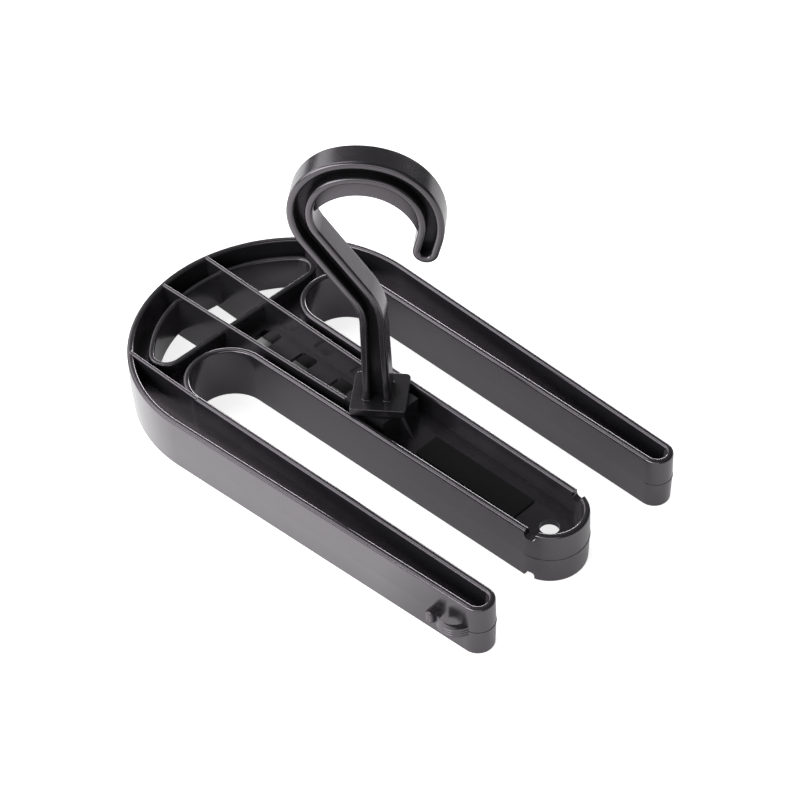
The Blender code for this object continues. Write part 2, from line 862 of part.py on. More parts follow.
def build_screw(parts, helpers, look, axis):
    """Pan-head screw from below, a turned profile with a cross recess."""
    seat = screw_seat()
    under = seat - SCREW_HEAD_HEIGHT
    profile = [
        Vector((0, seat + SCREW_LENGTH)),
        Vector((SCREW_RADIUS - CLEARANCE, seat + SCREW_LENGTH)),
        Vector((SCREW_RADIUS, seat + SCREW_LENGTH - CLEARANCE)),
        Vector((SCREW_RADIUS, seat)),
        Vector((SCREW_HEAD_RADIUS, seat)),
        Vector((SCREW_HEAD_RADIUS, seat - SCREW_HEAD_HEIGHT / 2)),
        Vector((SCREW_HEAD_RADIUS - SCREW_HEAD_HEIGHT / 2, under)),
        Vector((0, under)),
    ]
    mesh = bpy.data.meshes.new("screw")
    edges = [(i, i + 1) for i in range(len(profile) - 1)]
    mesh.from_pydata([(p.x, 0, p.y) for p in profile], edges, [])
    screw = bpy.data.objects.new("screw", mesh)
    screw.parent = axis
    turned = screw.modifiers.new("turned", "SCREW")
    turned.steps = turned.render_steps = ROUND_SIDES
    turned.use_merge_vertices = True
    turned.merge_threshold = WELD
    recess = []
    for turn in (0, math.pi / 2):
        bpy.ops.mesh.primitive_cube_add(size=1)
        blade = bpy.context.object
        blade.name = "recess"
        blade.scale = (SCREW_HEAD_RADIUS, SCREW_SLOT_WIDTH, 2 * SCREW_SLOT_DEPTH)
        blade.location = (0, 0, under)
        blade.rotation_euler = (0, 0, turn)
        recess.append(blade)
    combine(screw, "DIFFERENCE", recess, helpers)
    return finish(screw, "hook_screw", parts, look)


def main():
    clear_scene()
    parts = new_collection("drysuit_hanger")
    helpers = new_collection("construction")
    plastic = material("black_plastic", BLACK_PLASTIC, 0.42)
    gloss = material("label_black", LABEL_BLACK, 0.18)
    steel = material("stainless_steel", STEEL, 0.3, metallic=1.0)
    axis = bpy.data.objects.new("hook_axis", None)
    axis.location = (along(HOOK_AXIS), 0, 0)
    axis.rotation_euler = (0, 0, HOOK_TURN)
    parts.objects.link(axis)
    bpy.context.view_layer.update()
    build_frame(parts, helpers, plastic)
    build_label(parts, gloss)
    build_hook(parts, helpers, plastic, axis)
    build_washer(parts, steel, axis)
    build_screw(parts, helpers, steel, axis)


main()
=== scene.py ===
import math

import bmesh
import bpy
from mathutils import Matrix, Vector


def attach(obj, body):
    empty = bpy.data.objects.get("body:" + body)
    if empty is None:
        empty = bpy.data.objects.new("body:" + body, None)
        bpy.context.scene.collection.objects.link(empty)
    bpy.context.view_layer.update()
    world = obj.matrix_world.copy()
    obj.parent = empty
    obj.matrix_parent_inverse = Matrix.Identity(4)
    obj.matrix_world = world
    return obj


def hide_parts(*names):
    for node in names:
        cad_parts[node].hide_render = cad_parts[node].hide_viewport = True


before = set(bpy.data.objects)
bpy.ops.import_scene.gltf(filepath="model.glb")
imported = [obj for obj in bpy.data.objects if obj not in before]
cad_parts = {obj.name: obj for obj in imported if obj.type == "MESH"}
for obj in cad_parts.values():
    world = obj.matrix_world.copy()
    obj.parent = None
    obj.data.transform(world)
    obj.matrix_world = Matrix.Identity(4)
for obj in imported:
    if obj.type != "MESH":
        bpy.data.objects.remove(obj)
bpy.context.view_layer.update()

print("hanger: packed frame loaded")

# view from above the near arm, the photograph's angle
shot = {
    "eye": (0.7764, -0.7274, 1.0379),
    "right": (0.7168, 0.6967, -0.0282),
    "up": (-0.4646, 0.5073, 0.7258),
    "back": (0.52, -0.5071, 0.6874),
    "lens": 96.46,
    "sensor": 36,
    "reach": 20,
}


def addCamera():
    data = bpy.data.cameras.new("shotCamera")
    data.lens = shot["lens"]
    data.sensor_width = shot["sensor"]
    data.clip_end = shot["reach"]
    camera = bpy.data.objects.new("shotCamera", data)
    axes = Matrix([shot["right"], shot["up"], shot["back"]]).transposed()
    camera.matrix_world = Matrix.Translation(shot["eye"]) @ axes.to_4x4()
    bpy.context.scene.collection.objects.link(camera)
    bpy.context.scene.camera = camera


addCamera()

hookTurn = 38  # degrees out of the frame's middle plane, for the hook and the lines on it

# finishes; noise scales are per metre, a bump is its strength and depth
plasticLook = {
    "colour": (0.0092, 0.0088, 0.0098, 1),
    "paler": (0.0125, 0.0119, 0.0132, 1),
    "roughness": (0.20, 0.23),
    "specular": 0.92,
    "tint": (0.99, 0.915, 1, 1),
    "ior": 1.55,
    "clouds": 38,
    "patches": 228,
    "grain": 700,
    "grainBump": (0.35, 0.000006),
    "waveBump": (0.25, 0.0006),
}
hookLook = {
    **plasticLook,
    "paintedShadeReach": 0.014,  # reach of the painted shade in a groove
    "paintedShadeSamples": 6,
    "paintedShadeOpen": (0.45, 0.85),
    "paintedShadeSpecular": 0.04,
    "lineSize": (0.12, 0.0009, 0.12),
    "lineBump": (0.3, 0.00012),
}
labelLook = {
    "colour": (0.006, 0.006, 0.0065, 1), "metallic": 0.0, "roughness": (0.10, 0.19),
    "marks": (300, 3.0), "grain": (120, 1.0), "grainBump": (0.1, 0.0002),
}
steelLook = {
    "colour": (0.60, 0.60, 0.58, 1), "metallic": 1.0, "roughness": (0.24, 0.38),
    "marks": (900, 4.0), "grain": (2500, 2.0), "grainBump": (0.15, 0.00005),
}


def newMaterial(name):
    made = bpy.data.materials.new(name)
    made.use_nodes = True
    tree = made.node_tree
    return made, tree, tree.nodes["Principled BSDF"], tree.nodes.new("ShaderNodeTexCoord").outputs["Object"]


def noise(tree, place, scale, detail=3.0):
    made = tree.nodes.new("ShaderNodeTexNoise")
    made.inputs["Scale"].default_value = scale
    made.inputs["Detail"].default_value = detail
    tree.links.new(place, made.inputs["Vector"])
    return made.outputs["Fac"]


def spread(tree, value, low, high, fromLow=0.3, fromHigh=0.7):
    made = tree.nodes.new("ShaderNodeMapRange")
    made.inputs["From Min"].default_value = fromLow
    made.inputs["From Max"].default_value = fromHigh
    made.inputs["To Min"].default_value = low
    made.inputs["To Max"].default_value = high
    tree.links.new(value, made.inputs["Value"])
    return made.outputs["Result"]


def blendColours(tree, value, first, second):
    made = tree.nodes.new("ShaderNodeMix")
    made.data_type = "RGBA"
    made.inputs["A"].default_value = first
    made.inputs["B"].default_value = second
    tree.links.new(value, made.inputs["Factor"])
    return made.outputs["Result"]


def bump(tree, height, strength, depth, normal=None):
    made = tree.nodes.new("ShaderNodeBump")
    made.inputs["Strength"].default_value = strength
    made.inputs["Distance"].default_value = depth
    tree.links.new(height, made.inputs["Height"])
    if normal:
        tree.links.new(normal, made.inputs["Normal"])
    return made.outputs["Normal"]


# painted shade: ambient occlusion takes the shine down on the floor of a deep groove, so it is darker than
# its rims
def paintGrooveShade(tree, shader, look):
    paintedShadeNode = tree.nodes.new("ShaderNodeAmbientOcclusion")
    paintedShadeNode.samples = look["paintedShadeSamples"]
    paintedShadeNode.inputs["Distance"].default_value = look["paintedShadeReach"]
    shadedShine = spread(tree, paintedShadeNode.outputs["AO"], look["paintedShadeSpecular"], look["specular"], *look["paintedShadeOpen"])
    tree.links.new(shadedShine, shader.inputs["Specular IOR Level"])


# faint lines that run along the band
def addLines(tree, place, look, normal):
    rubbed = tree.nodes.new("ShaderNodeMapping")
    rubbed.vector_type = "TEXTURE"
    rubbed.inputs["Rotation"].default_value = (0, 0, math.radians(hookTurn))
    rubbed.inputs["Scale"].default_value = look["lineSize"]
    tree.links.new(place, rubbed.inputs["Vector"])
    lines = noise(tree, rubbed.outputs["Vector"], scale=1.0, detail=2.0)
    return bump(tree, lines, *look["lineBump"], normal)


def mouldedPlastic(name, look):
    made, tree, shader, place = newMaterial(name)
    shade = spread(tree, noise(tree, place, look["clouds"]), 0, 1)
    tree.links.new(blendColours(tree, shade, look["colour"], look["paler"]), shader.inputs["Base Color"])
    patches = noise(tree, place, look["patches"])
    tree.links.new(spread(tree, patches, *look["roughness"]), shader.inputs["Roughness"])
    shader.inputs["IOR"].default_value = look["ior"]
    shader.inputs["Specular IOR Level"].default_value = look["specular"]
    shader.inputs["Specular Tint"].default_value = look["tint"]
    grain = bump(tree, noise(tree, place, look["grain"], detail=2.0), *look["grainBump"])
    normal = bump(tree, noise(tree, place, look["clouds"], detail=1.0), *look["waveBump"], grain)
    # painted shade in the grooves, and faint lines along the band
    if "paintedShadeReach" in look:
        paintGrooveShade(tree, shader, look)
        normal = addLines(tree, place, look, normal)
    tree.links.new(normal, shader.inputs["Normal"])
    return made


def plainFinish(name, look):
    made, tree, shader, place = newMaterial(name)
    shader.inputs["Base Color"].default_value = look["colour"]
    shader.inputs["Metallic"].default_value = look["metallic"]
    marks = spread(tree, noise(tree, place, *look["marks"]), *look["roughness"])
    tree.links.new(marks, shader.inputs["Roughness"])
    grain = bump(tree, noise(tree, place, *look["grain"]), *look["grainBump"])
    tree.links.new(grain, shader.inputs["Normal"])
    return made


satinBlack = mouldedPlastic("satinBlackMoulding", plasticLook)
# the hook's black, with painted shade in its grooves
hookBlackShaded = mouldedPlastic("hookBlackPaintedGrooveShade", hookLook)
glossBlack = plainFinish("glossBlackLabel", labelLook)
stainless = plainFinish("stainlessFastener", steelLook)
print("hanger: finishes ready")

# outlines in plan; distances run from the back of the arch
frameLength = 0.3852
overlap = 0.002  # a joined or cutting piece runs this far past a face
weldGap = 0.000002  # points closer than this become one


def along(distance):
    return distance - frameLength / 2


def mirrored(points):
    return [Vector((p.x, -p.y)) for p in points]


def onCircle(centre, radius, angle):
    return centre + radius * Vector((math.cos(angle), math.sin(angle)))


def cornerArc(before, corner, after, radius, steps):
    come = (corner - before).normalized()
    leave = (after - corner).normalized()
    turn = come.angle_signed(leave)
    start = corner - come * radius * math.tan(abs(turn) / 2)
    centre = start + Vector((come.y, -come.x)) * math.copysign(radius, turn)
    spoke = start - centre
    return [centre + Matrix.Rotation(-turn * i / steps, 2) @ spoke for i in range(steps + 1)]


def roundedLoop(corners, radii, steps):
    points = []
    for i, corner in enumerate(corners):
        points += cornerArc(corners[i - 1], corner, corners[(i + 1) % len(corners)], radii[i], steps)
    return points


# three sides of a box, with its two far corners rounded
def roundedSlot(corners, radius, steps=8):
    arcs = cornerArc(*corners[:3], radius, steps) + cornerArc(*corners[1:], radius, steps)
    return [corners[0]] + arcs + [corners[3]]


# every end is given by its two corners and becomes one full round
def fullRoundLoop(ends):
    corners = [corner for first, second, _ in ends for corner in (first, second)]
    points = []
    for i, (first, second, steps) in enumerate(ends):
        before = corners[2 * i - 1]
        after = corners[(2 * i + 2) % len(corners)]
        edge = second - first
        turns = abs((first - before).angle_signed(edge)), abs(edge.angle_signed(after - second))
        radius = edge.length / (math.tan(turns[0] / 2) + math.tan(turns[1] / 2))
        points += cornerArc(before, first, second, radius, steps)[:-1]
        points += cornerArc(first, second, after, radius, steps)
    return points


def boxCorners(centreX, centreY, length, width):
    return [
        Vector((centreX + sx * length / 2, centreY + sy * width / 2))
        for sx, sy in ((1, -1), (1, 1), (-1, 1), (-1, -1))
    ]


def rectangle(centreX, centreY, length, width, radius, steps=8):
    return roundedLoop(boxCorners(centreX, centreY, length, width), [radius] * 4, steps)


def circle(centreX, centreY, radius, sides=96):
    return [onCircle(Vector((centreX, centreY)), radius, math.tau * i / sides) for i in range(sides)]


# curves made into closed meshes
def drawCurve(name, loops, flat, closed=True):
    curve = bpy.data.curves.new(name, "CURVE")
    curve.dimensions = "2D" if flat else "3D"
    for points in loops:
        spline = curve.splines.new("POLY")
        spline.points.add(len(points) - 1)
        for place, point in zip(spline.points, points):
            place.co = (point.x, point.y, 0, 1)
        spline.use_cyclic_u = closed
    made = bpy.data.objects.new(name, curve)
    bpy.context.scene.collection.objects.link(made)
    return made


def toMesh(drawn, lift=0.0, upright=False):
    graph = bpy.context.evaluated_depsgraph_get()
    mesh = bpy.data.meshes.new_from_object(drawn.evaluated_get(graph))
    shape = bmesh.new()
    shape.from_mesh(mesh)
    bmesh.ops.remove_doubles(shape, verts=shape.verts, dist=weldGap)
    bmesh.ops.recalc_face_normals(shape, faces=shape.faces)
    turn = Matrix.Rotation(math.pi / 2 if upright else 0, 3, "X")
    shape.transform(Matrix.LocRotScale(Vector((0, 0, lift)), turn, None))
    shape.to_mesh(mesh)
    shape.free()
    name = drawn.name
    bpy.data.objects.remove(drawn)
    made = bpy.data.objects.new(name, mesh)
    bpy.context.scene.collection.objects.link(made)
    return made


def thicken(name, loops, thickness, edge, edgeSteps, lift=0.0, upright=False):
    drawn = drawCurve(name, loops, flat=True)
    drawn.data.fill_mode = "BOTH"
    drawn.data.extrude = thickness / 2 - edge
    drawn.data.bevel_depth = edge
    drawn.data.bevel_resolution = edgeSteps
    drawn.data.offset = -edge
    return toMesh(drawn, lift, upright)


def slab(name, loops, low, high, edge=0.0):
    return thicken(name, loops, high - low, edge, edgeSteps=3, lift=(low + high) / 2)


def uprightSlab(name, outline, thickness, edge=0.0):
    return thicken(name, [outline], thickness, edge, edgeSteps=2, upright=True)


# a moulded wall is widest at the parting line and has rounded rims
def wallSection(parting, rim, rounding, low, high, steps=6):
    def rimCorner(side, level, up):
        centre = Vector((side * (rim / 2 - rounding), level - up * rounding))
        arc = [
            centre + rounding * Vector((side * math.cos(a), up * math.sin(a)))
            for a in (math.pi / 2 * i / steps for i in range(steps + 1))
        ]
        return arc if side * up > 0 else arc[::-1]

    return (
        rimCorner(1, high, 1) + rimCorner(-1, high, 1) + [Vector((-parting / 2, 0))]
        + rimCorner(-1, low, -1) + rimCorner(1, low, -1) + [Vector((parting / 2, 0))]
    )


def sweep(name, path, section, closed=False, lift=0.0, upright=False):
    drawn = drawCurve(name, [path], flat=False, closed=closed)
    profile = drawCurve(name + "Section", [section], flat=True)
    profile.data.fill_mode = "NONE"
    drawn.data.bevel_mode = "OBJECT"
    drawn.data.bevel_object = profile
    drawn.data.use_fill_caps = not closed
    made = toMesh(drawn, lift, upright)
    bpy.data.objects.remove(profile)
    return made


# joins or cuts, then keeps one plain mesh
def fuse(target, joined, cut):
    for operation, pieces in (("UNION", joined), ("DIFFERENCE", cut)):
        for piece in pieces:
            step = target.modifiers.new(piece.name, "BOOLEAN")
            step.operation = operation
            step.solver = "EXACT"
            step.object = piece
    graph = bpy.context.evaluated_depsgraph_get()
    mesh = bpy.data.meshes.new_from_object(target.evaluated_get(graph))
    target.modifiers.clear()
    target.data = mesh
    for piece in joined + cut:
        bpy.data.objects.remove(piece)
    return target


def dress(piece, name, material, body, node, sharp=32):
    piece.name = name
    piece.data.materials.clear()
    piece.data.materials.append(material)
    piece.data.shade_smooth()
    piece.data.set_sharp_from_angle(angle=math.radians(sharp))
    even = piece.modifiers.new("evenShading", "WEIGHTED_NORMAL")
    even.keep_sharp = True
    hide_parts(node)
    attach(piece, body)
    return piece


# the frame: one moulding round two slots
frameSizes = {
    "height": 0.0420,
    "middleArm": 0.3830,
    "armBack": 0.1125,
    "armFront": 0.3725,
    "outer": (0.1125, 0.0984),  # half widths at the arch and at the tips
    "slotFar": (0.0810, 0.0750),
    "slotNear": (0.0302, 0.0259),
    "slotStart": 0.0860,
    "wall": (0.0056, 0.0048, 0.0019),  # at the parting, at the rim, rounding
    "rimDrop": 0.0002,
    "roundSteps": (56, 16, 26, 24, 26, 16),  # arch, near tip, slot, middle tip, slot, far tip
    "seam": 0.00032,
    "seamSides": 8,
    "rib": (0.0040, 0.0030, 0.0011),
    "web": 0.0026,
    "floorRise": 0.0025,  # floor of the arms above the web of the head
    "ribSpread": (0.0209, 0.0159),
    "sideRib": 0.0844,
}
half = frameSizes["height"] / 2


def taper(pair, distance):
    share = (distance - frameSizes["armBack"]) / (frameSizes["armFront"] - frameSizes["armBack"])
    return pair[0] + (pair[1] - pair[0]) * share


def wallLine():
    inset = frameSizes["wall"][0] / 2
    back, armTip = inset, frameLength - inset
    slot, middleTip = frameSizes["slotStart"] - inset, frameSizes["middleArm"] - inset

    def at(distance, pair, side, turn):
        return Vector((along(distance), turn * (taper(frameSizes[pair], distance) + side * inset)))

    ends = (
        (at(back, "outer", -1, 1), at(back, "outer", -1, -1)),
        (at(armTip, "outer", -1, -1), at(armTip, "slotFar", 1, -1)),
        (at(slot, "slotFar", 1, -1), at(slot, "slotNear", -1, -1)),
        (at(middleTip, "slotNear", -1, -1), at(middleTip, "slotNear", -1, 1)),
        (at(slot, "slotNear", -1, 1), at(slot, "slotFar", 1, 1)),
        (at(armTip, "slotFar", 1, 1), at(armTip, "outer", -1, 1)),
    )
    return fullRoundLoop([(*end, steps) for end, steps in zip(ends, frameSizes["roundSteps"])])


# a thin seam shows at mid height round each tip
def makeSeams():
    line = wallLine()
    counts = [2 * steps + 1 for steps in frameSizes["roundSteps"]]  # points of each end
    bead = circle(0, 0, frameSizes["seam"], frameSizes["seamSides"])
    made = []
    for tipIndex in (1, 3, 5):  # near, middle and far tip
        first = sum(counts[:tipIndex])
        tip = line[first:first + counts[tipIndex]]
        centre = (tip[0] + tip[-1]) / 2
        path = [p + (p - centre).normalized() * frameSizes["wall"][0] / 2 for p in tip]
        made.append(sweep("seam", path, bead, lift=half))
    return made


# the D-shaped cell in the arch
cellSizes = {
    "drop": 0.0070, "wall": (0.0050, 0.0044, 0.0016), "chord": 0.0677, "radius": 0.0957, "corner": 0.0115,
    "cornerSteps": 14, "arcSteps": 56,
}


def cellLine():
    cornerX = cellSizes["chord"] - cellSizes["corner"]
    inner = cellSizes["radius"] - cellSizes["corner"]
    cornerY = math.sqrt(inner ** 2 - (frameSizes["armBack"] - cornerX) ** 2)
    lean = math.atan2(cornerY, cornerX - frameSizes["armBack"])

    def arc(x, y, radius, start, end, steps):
        turns = (start + (end - start) * i / steps for i in range(steps + 1))
        return [onCircle(Vector((along(x), y)), radius, a) for a in turns]

    rounding, steps = cellSizes["corner"], cellSizes["cornerSteps"]
    back = arc(frameSizes["armBack"], 0, cellSizes["radius"], lean, math.tau - lean, cellSizes["arcSteps"])
    return (
        arc(cornerX, cornerY, rounding, 0, lean, steps) + back[1:-1]
        + arc(cornerX, -cornerY, rounding, math.tau - lean, math.tau, steps)
    )


def makeWalls():
    outer = wallSection(*frameSizes["wall"], -half, half - frameSizes["rimDrop"])
    cell = wallSection(*cellSizes["wall"], cellSizes["drop"] - half, half - cellSizes["drop"])
    return [
        sweep("outerWall", wallLine(), outer, closed=True, lift=half),
        sweep("cellWall", cellLine(), cell, closed=True, lift=half),
    ]


# the boss that the hook turns in, with its gusset
bossSizes = {
    "axis": 0.2045, "length": 0.0380, "width": 0.0340, "corner": 0.0008, "wall": 0.0030, "roof": 0.0060,
    "gusset": 0.0028, "gussetReach": 0.0105, "gussetDrop": 0.0015, "gussetEdge": 0.0006,
}


def floorTop():
    return half + frameSizes["web"] / 2 + frameSizes["floorRise"]


def makeBoss():
    b = bossSizes
    outline = rectangle(along(b["axis"]), 0, b["length"], b["width"], b["corner"])
    drop = frameSizes["rimDrop"]
    post = slab("boss", [outline], drop, frameSizes["height"] - drop)
    front = b["axis"] + b["length"] / 2
    root, foot = along(front - b["wall"] / 2), along(front + b["gussetReach"])
    floor, top = floorTop(), frameSizes["height"] - b["gussetDrop"]
    outline = [
        Vector((root, floor - overlap)), Vector((foot, floor - overlap)), Vector((foot, floor)),
        Vector((along(front), top)), Vector((root, top)),
    ]
    return [post, uprightSlab("gusset", outline, b["gusset"], b["gussetEdge"])]


def makeBossCuts():
    b = bossSizes
    roof = frameSizes["height"] - frameSizes["rimDrop"] - b["roof"]
    length, width = b["length"] - 2 * b["wall"], b["width"] - 2 * b["wall"]
    hollow = rectangle(along(b["axis"]), 0, length, width, b["corner"])
    bore = circle(along(b["axis"]), 0, hookSizes["pin"] + hookSizes["clearance"])
    return [
        slab("hollow", [hollow], -overlap, roof),
        slab("bore", [bore], roof - overlap, frameSizes["height"] + overlap),
    ]


# ribs of the head, which meet the back of the arch
def archBack(halfWidth):
    radius = frameSizes["outer"][0] - frameSizes["wall"][0] / 2
    return frameSizes["armBack"] - math.sqrt(radius ** 2 - halfWidth ** 2)


def bossBack():
    return bossSizes["axis"] - bossSizes["length"] / 2


def ribSpread(distance):
    first, last = frameSizes["ribSpread"]
    return first + (last - first) * distance / bossBack()


def makeRibs():
    section = wallSection(*frameSizes["rib"], frameSizes["rimDrop"] - half, half)
    longEnds = archBack(ribSpread(0)), bossBack() + bossSizes["wall"] / 2
    sideEnds = archBack(frameSizes["sideRib"]), frameSizes["armBack"]
    made = []
    for side in (-1, 1):
        longLine = [Vector((along(d), side * ribSpread(d))) for d in longEnds]
        sideLine = [Vector((along(d), side * frameSizes["sideRib"])) for d in sideEnds]
        made.append(sweep("longRib", longLine, section, lift=half))
        made.append(sweep("sideRib", sideLine, section, lift=half))
    return made


# holes and notches
windowSizes = {
    "count": 3, "first": 0.0857, "pitch": 0.0377, "length": 0.0156, "corner": 0.0028, "margin": 0.0060,
}
tipSizes = {
    "hole": 0.3568, "holeRadius": 0.0068, "notch": 0.3615, "notchWidth": 0.0080, "notchDepth": 0.0060,
    "notchCorner": 0.0025,
}


def windows():
    made = []
    for i in range(windowSizes["count"]):
        place = windowSizes["first"] + i * windowSizes["pitch"]
        width = 2 * (ribSpread(place) - windowSizes["margin"])
        made.append(rectangle(along(place), 0, windowSizes["length"], width, windowSizes["corner"]))
    return made


# the floor of the arms stands higher than the web of the head
def makeWeb():
    low = half - frameSizes["web"] / 2
    hole = circle(along(tipSizes["hole"]), 0, tipSizes["holeRadius"])
    floor = slab("web", [wallLine(), cellLine(), hole] + windows(), low, floorTop())
    back, axis = frameSizes["armBack"], bossSizes["axis"]
    inset = frameSizes["wall"][0] / 2
    plan = [(-overlap, frameSizes["sideRib"]), (back, frameSizes["sideRib"])]
    plan += [(d, taper(frameSizes["slotNear"], d) - inset) for d in (back, axis)]
    corners = [Vector((along(d), y)) for d, y in plan]
    corners += mirrored(corners[::-1])
    head = slab("head", [corners], low + frameSizes["web"], floorTop() + overlap)
    return fuse(floor, [], [head])


def makeNotches():
    t = tipSizes
    made = []
    for level, up in ((frameSizes["height"] - frameSizes["rimDrop"], 1), (0, -1)):
        outside, floor = level + up * overlap, level - up * t["notchDepth"]
        left, right = (along(t["notch"]) + side * t["notchWidth"] / 2 for side in (-1, 1))
        corners = [Vector(p) for p in ((left, outside), (left, floor), (right, floor), (right, outside))]
        outline = roundedSlot(corners, t["notchCorner"])
        made.append(uprightSlab("notch", outline, 2 * frameSizes["slotNear"][0]))
    return made


# cord eyelets outside both arms: a peg and a curved finger, each with ridges along it
eyeletSizes = {
    "height": 0.0084, "skin": 0.0018, "teeth": 4, "grip": 0.0004, "coreEdge": 0.0003,
    "tooth": ((0.10, 0.30), (0.24, 0.0), (0.76, 0.0), (0.90, 0.30)),  # shares of its height and depth
    "pegFront": 0.3534, "pegLength": 0.0060, "pegReach": 0.0078, "pegCorner": 0.0024,
    "gap": 0.0030, "finger": 0.3635, "fingerRadius": 0.0133, "fingerReach": 0.0088,
    "eye": 0.3605, "eyeRadius": 0.0111,
}


def gripSection():
    tall, teeth, outer = eyeletSizes["height"], eyeletSizes["teeth"], eyeletSizes["skin"] / 2
    points = [Vector((-outer, tall / 2)), Vector((-outer, -tall / 2))]
    for i in range(teeth):
        low, step = -tall / 2 + tall * i / teeth, tall / teeth
        for share, depth in eyeletSizes["tooth"]:
            points.append(Vector((outer - depth * eyeletSizes["grip"], low + share * step)))
        if i < teeth - 1:
            points.append(Vector((outer - eyeletSizes["grip"], low + step)))
    return points


def arcFrom(start, x, y, radius, steps=22):
    first, last = math.asin((start - x) / radius), math.pi / 2
    angles = [first + (last - first) * i / steps for i in range(steps + 1)]
    return [Vector((along(x + radius * math.sin(a)), y + radius * math.cos(a))) for a in angles]


def makeEyelets():
    e = eyeletSizes
    layer = e["skin"] / 2
    face = taper(frameSizes["outer"], e["pegFront"])
    root, end = face - frameSizes["wall"][0] / 2, face + e["pegReach"] - layer
    back, front = e["pegFront"] - e["pegLength"] + layer, e["pegFront"] - layer
    corners = [Vector((along(x), y)) for x, y in ((back, root), (back, end), (front, end), (front, root))]
    peg = roundedSlot(corners, e["pegCorner"] - layer)
    y = taper(frameSizes["outer"], e["finger"]) + e["fingerReach"] - e["fingerRadius"]
    free = e["pegFront"] + e["gap"]
    finger = arcFrom(free, e["finger"], y, e["fingerRadius"] - layer)
    wedge = arcFrom(free + e["skin"], e["finger"], y, e["fingerRadius"] - layer)
    wedge += arcFrom(free + e["skin"], e["eye"], y, e["eyeRadius"])[::-1]
    reach = e["height"] / 2 - frameSizes["rimDrop"]
    made = []
    for name, line, core in (("peg", peg, peg), ("finger", finger, wedge)):
        for path, filling in ((mirrored(line), mirrored(core)), (line[::-1], core)):
            made.append(sweep(name, path, gripSection(), lift=half))
            made.append(slab(name + "Core", [filling], half - reach, half + reach, e["coreEdge"]))
    return made


# the hook: an I-section band on a square plate
hookSizes = {
    "band": 0.0168, "foot": 0.0192, "depth": 0.0200, "flange": 0.0052, "rounding": 0.0020,
    "web": 0.0026, "webEdge": 0.0003,
    "setback": 0.0020, "footSetback": 0.0013,
    "stretches": (  # length, or radius and turn in degrees, up from the plate
        (0.0669, 0, 0), (0, 0.0440, 32.7), (0.0557, 0, 0),
        (0, 0.0341, -109.9), (0, 0.0540, -31.8), (0, 0.0395, -86), (0.0100, 0, 0),
    ),
    "stepDegrees": 3, "billSteps": 24,
    "crownDrop": 0.0152, "arcRadius": 0.0370, "arcSteps": 40,  # the arc below the crown's web
    "plate": 0.0380, "plateThick": 0.0060, "plateEdge": 0.0006, "plateSteps": 6,
    "frontCorner": 0.0008, "backCorner": 0.0035,
    "pad": 0.0014, "padRise": 0.0007, "padSink": 0.0005, "padEdge": 0.0004,
    "pin": 0.0070, "pinFoot": 0.0357, "clearance": 0.0003,
    "pilot": 0.0028, "pilotSpan": (0.032, 0.0445),
}


def plateTop():
    return frameSizes["height"] + hookSizes["clearance"] + hookSizes["plateThick"]


def hookLine():
    place, heading = Vector((-hookSizes["setback"], plateTop())), math.pi / 2
    line = [(place.copy(), heading)]
    for length, radius, degrees in hookSizes["stretches"]:
        if length:
            place = onCircle(place, length, heading)
            line.append((place.copy(), heading))
            continue
        turn = math.radians(degrees)
        steps = math.ceil(abs(degrees) / hookSizes["stepDegrees"])
        chord = 2 * radius * math.sin(abs(turn) / steps / 2)
        for _ in range(steps):
            place = onCircle(place, chord, heading + turn / steps / 2)
            heading += turn / steps
            line.append((place.copy(), heading))
    return line


def flangeFoot():
    return (hookSizes["foot"] - hookSizes["flange"]) / 2


def flangeLine():
    reach = (hookSizes["band"] - hookSizes["flange"]) / 2
    line = hookLine()

    def beside(side):
        points = [Vector((side * flangeFoot() - hookSizes["footSetback"], plateTop() - overlap))]
        for place, heading in line[1:]:
            points.append(place - side * reach * Vector((-math.sin(heading), math.cos(heading))))
        return points

    end, heading = line[-1]
    steps = hookSizes["billSteps"]
    bill = [
        onCircle(end, reach, heading + math.pi / 2 - math.pi * i / steps)
        for i in range(1, steps)
    ]
    return beside(-1) + bill + beside(1)[::-1]


# the web fills the band and the back of the crown, down to an arc
def webLine():
    crown = max((place for place, _ in hookLine()), key=lambda place: place.y)
    radius, steps = hookSizes["arcRadius"], hookSizes["arcSteps"]
    centre = crown - Vector((0, hookSizes["band"] / 2 + hookSizes["crownDrop"] + radius))
    line = flangeLine()
    inside = [
        i for i in range(len(line) // 2, len(line))
        if line[i].y > centre.y and (line[i] - centre).length > radius
    ]
    first, last = line[inside[0]] - centre, line[inside[-1]] - centre
    start = math.atan2(first.y, first.x)
    turn = math.atan2(last.y, last.x) - start
    arc = [onCircle(centre, radius, start + turn * i / steps) for i in range(steps + 1)]
    return line[:inside[0]] + arc + line[inside[-1] + 1:]


def makePad(side):
    h = hookSizes
    length, width = h["flange"] + h["pad"], h["depth"] + h["pad"]
    outline = rectangle(side * flangeFoot() - h["footSetback"], 0, length, width, h["rounding"])
    return slab("pad", [outline], plateTop() - h["padSink"], plateTop() + h["padRise"], h["padEdge"])


def makeHook():
    h = hookSizes
    front = h["frontCorner"] + h["plateEdge"]
    radii = [front, h["backCorner"], h["backCorner"], front]
    outline = roundedLoop(boxCorners(0, 0, h["plate"], h["plate"]), radii, h["plateSteps"])
    plateFoot = plateTop() - h["plateThick"]
    plate = slab("plate", [outline], plateFoot, plateTop(), h["plateEdge"])
    section = wallSection(h["flange"], h["flange"], h["rounding"], -h["depth"] / 2, h["depth"] / 2)
    pieces = [
        makePad(-1),
        makePad(1),
        sweep("flange", flangeLine(), section, upright=True),
        uprightSlab("bandWeb", webLine(), h["web"], h["webEdge"]),
        slab("pin", [circle(0, 0, h["pin"])], h["pinFoot"], plateFoot + overlap),
    ]
    pilot = slab("pilot", [circle(0, 0, h["pilot"])], *h["pilotSpan"])
    hook = fuse(plate, pieces, [pilot])
    turn = Matrix.Rotation(math.radians(hookTurn), 4, "Z")
    hook.data.transform(Matrix.Translation((along(bossSizes["axis"]), 0, 0)) @ turn)
    return hook


